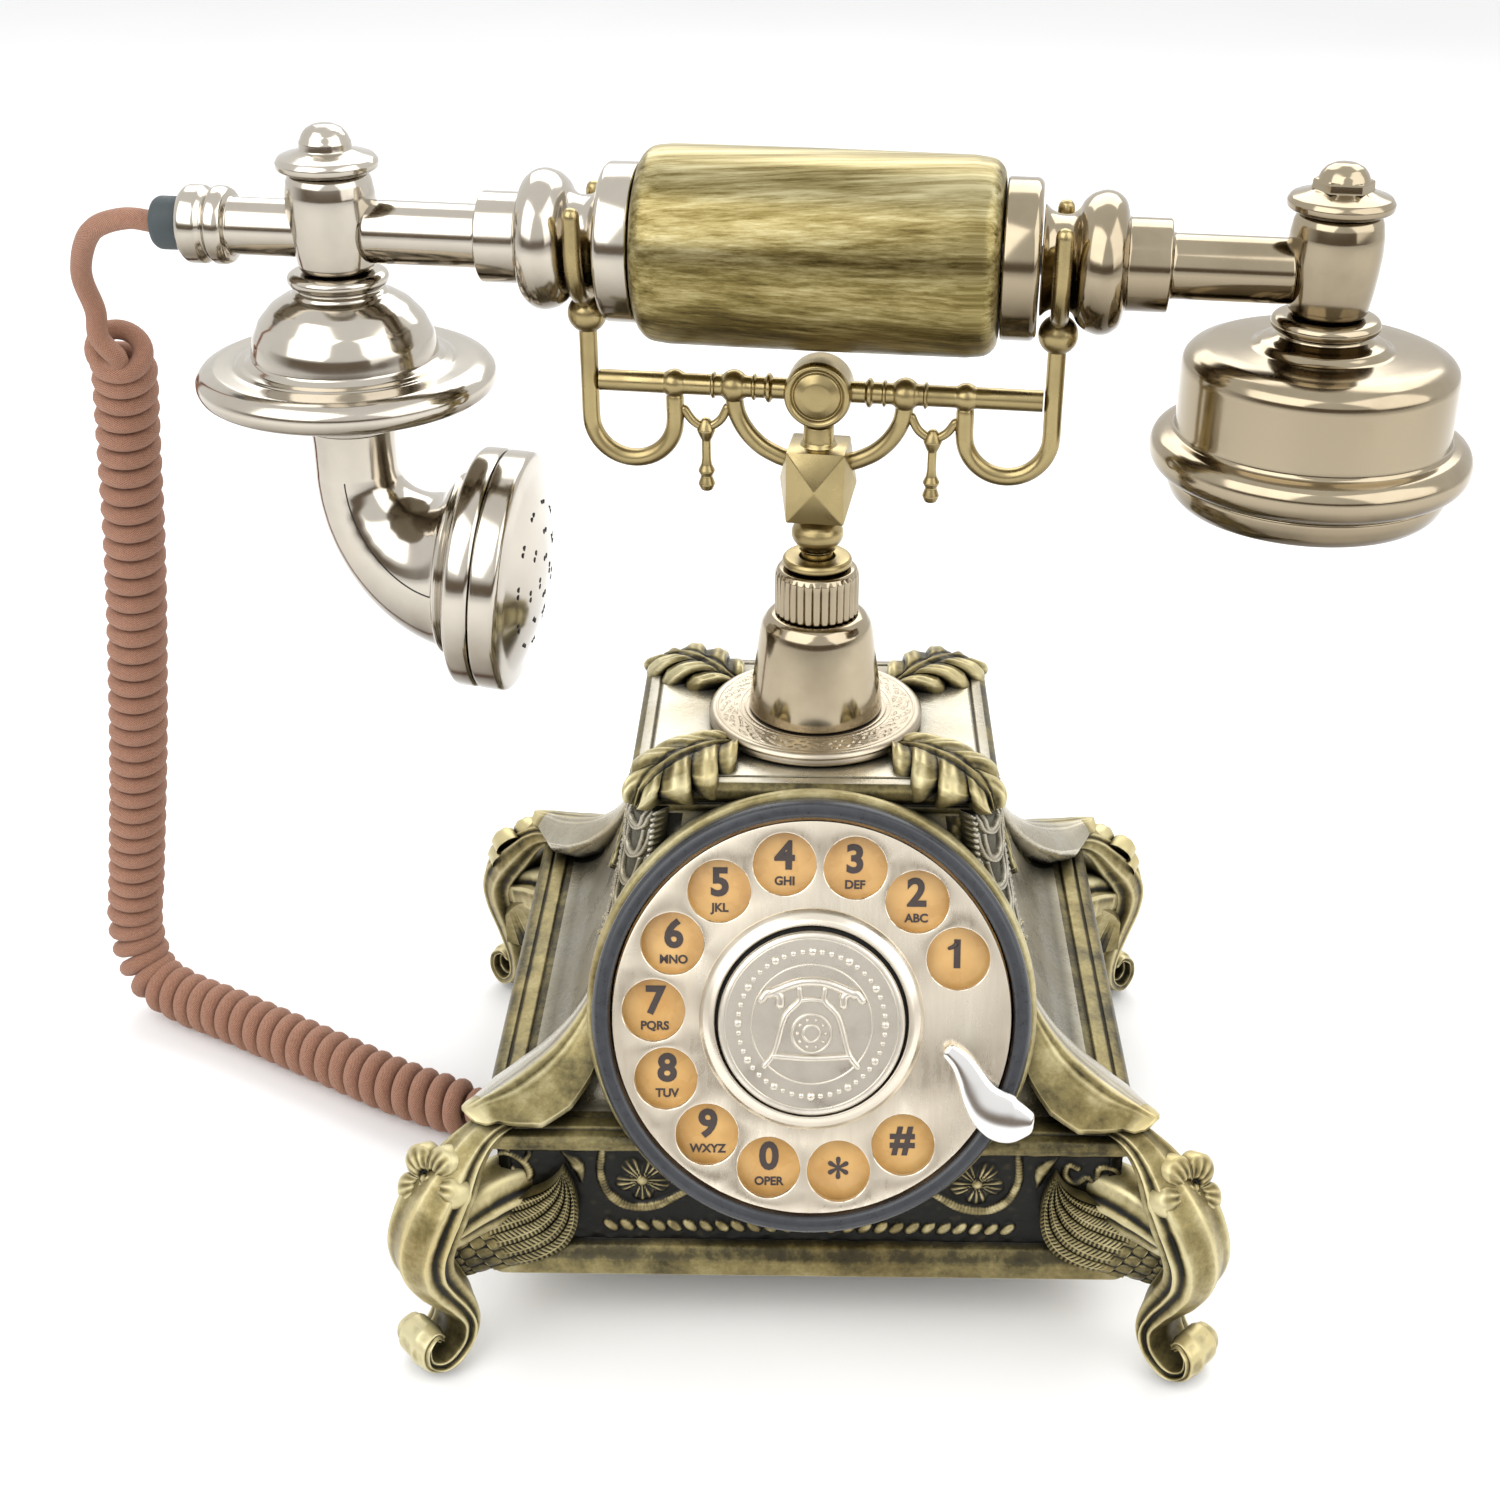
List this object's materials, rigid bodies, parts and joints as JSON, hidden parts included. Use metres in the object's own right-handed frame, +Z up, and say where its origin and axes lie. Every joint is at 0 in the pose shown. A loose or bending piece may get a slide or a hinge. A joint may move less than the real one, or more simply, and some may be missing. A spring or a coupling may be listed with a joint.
{
  "type": "rotary telephone",
  "caption": "Ornate tabletop telephone: footed sculpted base with a rotary dial, a brass cradle on a stem, and a metal handset on a curly cord.",
  "frame": {"origin": "on the floor, at the centre of the four feet and under the stem's axis", "axes": "+Z up, -Y the way the dial faces, +X to the right of someone facing the dial"},
  "size_m": [0.3342, 0.17, 0.2586],
  "materials": {
    "base_resin": "antique bronze-gold patina on cast resin, worn gold on the high points, near black in the hollows",
    "bezel_black": "smooth dark grey",
    "number_amber": "translucent amber with dark digits",
    "satin_nickel": "satin champagne nickel plating",
    "polished_nickel": "polished champagne nickel plating",
    "antique_brass": "satin antique brass plating",
    "brushed_brass": "brushed antique brass with dark streaks along the grip",
    "silver_button": "aged silver with a raised picture",
    "bright_silver": "polished silver",
    "plain_steel": "plain zinc-plated steel",
    "plain_brass": "polished brass",
    "spring_steel": "spring wire",
    "green_board": "green circuit board",
    "black_plastic": "black moulded plastic",
    "copper_coil": "copper winding",
    "slate_rubber": "matte dark slate",
    "braided_cord": "copper-brown braided sleeve"
  },
  "bodies": {
    "base": {"base_shell": "base_resin", "bottom_cover": "black_plastic", "bottom_screw_1": "plain_steel", "bottom_screw_2": "plain_steel", "bottom_screw_3": "plain_steel", "bottom_screw_4": "plain_steel", "dial_bezel": "bezel_black", "number_plate": "number_amber", "dial_frame": "plain_steel", "finger_stop": "bright_silver", "stem_flange": "satin_nickel", "stem_cone": "polished_nickel", "knurled_collar": "polished_nickel", "stem_nut": "plain_brass", "hook_spring": "spring_steel", "hook_bracket": "plain_steel", "hook_switch": "black_plastic", "circuit_board": "green_board", "line_jack": "black_plastic", "gong_left": "plain_brass", "gong_right": "plain_brass", "ringer_magnet": "copper_coil", "loudspeaker": "black_plastic", "dial_spring": "spring_steel", "cord_grommet": "slate_rubber", "cord_lead_top": "braided_cord", "cord_coil": "braided_cord", "cord_lead_bottom": "braided_cord"},
    "dial": {"finger_wheel": "satin_nickel", "wheel_hub": "satin_nickel", "dial_gear": "plain_brass"},
    "governor": {"governor": "plain_brass"},
    "button": {"speaker_button": "silver_button"},
    "hook": {"hook_lever": "plain_steel"},
    "ringer": {"clapper": "plain_steel"},
    "cradle": {"cradle_frame": "antique_brass", "cradle_block": "antique_brass", "cradle_plunger": "antique_brass", "fork_left": "antique_brass", "fork_right": "antique_brass"},
    "handset": {"handset_grip": "brushed_brass", "tie_rod": "plain_steel", "collar_left": "polished_nickel", "collar_right": "polished_nickel", "arm_left": "polished_nickel", "arm_right": "polished_nickel", "tee_left": "polished_nickel", "tee_right": "polished_nickel", "finial_left": "polished_nickel", "finial_right": "polished_nickel", "tail_ferrule": "polished_nickel", "bell_flange": "polished_nickel", "horn_elbow": "polished_nickel", "mouth_cap": "polished_nickel", "microphone": "black_plastic", "receiver_shell": "polished_nickel", "ear_cap": "polished_nickel", "receiver_capsule": "black_plastic", "strain_relief": "slate_rubber"}
  },
  "joints": [
    {"name": "dial_turn", "type": "hinge", "parent": "base", "child": "dial", "pos_m": [0, -0.06, 0.0853], "axis": [0, 0.9205, -0.3907], "range_deg": [0, 306], "stiffness_Nm_per_rad": 0.01, "springref_deg": -28.65},
    {"name": "governor_spin", "type": "hinge", "parent": "base", "child": "governor", "pos_m": [0.0225, -0.06, 0.0853], "axis": [0, 0.9205, -0.3907], "range_deg": [-1226, 1]},
    {"name": "speaker_button", "type": "slide", "parent": "base", "child": "button", "axis": [0, 0.9205, -0.3907], "range_m": [0, 0.0015], "stiffness_N_per_m": 800, "springref_m": -0.001},
    {"name": "handset_lift", "type": "slide", "parent": "base", "child": "handset", "axis": [0, 0, 1], "range_m": [0, 0.12]},
    {"name": "cradle_rise", "type": "slide", "parent": "base", "child": "cradle", "axis": [0, 0, 1], "range_m": [0, 0.0061], "deforming": ["hook_spring"]},
    {"name": "hook_lever_turn", "type": "hinge", "parent": "base", "child": "hook", "pos_m": [-0.018, 0, 0.1045], "axis": [0, -1, 0], "range_deg": [0, 17]},
    {"name": "clapper_swing", "type": "hinge", "parent": "base", "child": "ringer", "pos_m": [0, 0.024, 0.027], "axis": [0, 0, 1], "range_deg": [-10.5, 10.5], "stiffness_Nm_per_rad": 0.02}
  ],
  "couplings": [
    {"joint": "governor_spin", "follows": "dial_turn", "ratio": -4},
    {"joint": "cradle_rise", "follows": "handset_lift", "ratio": 0.05},
    {"joint": "hook_lever_turn", "follows": "handset_lift", "rad_per_m": 2.45}
  ]
}
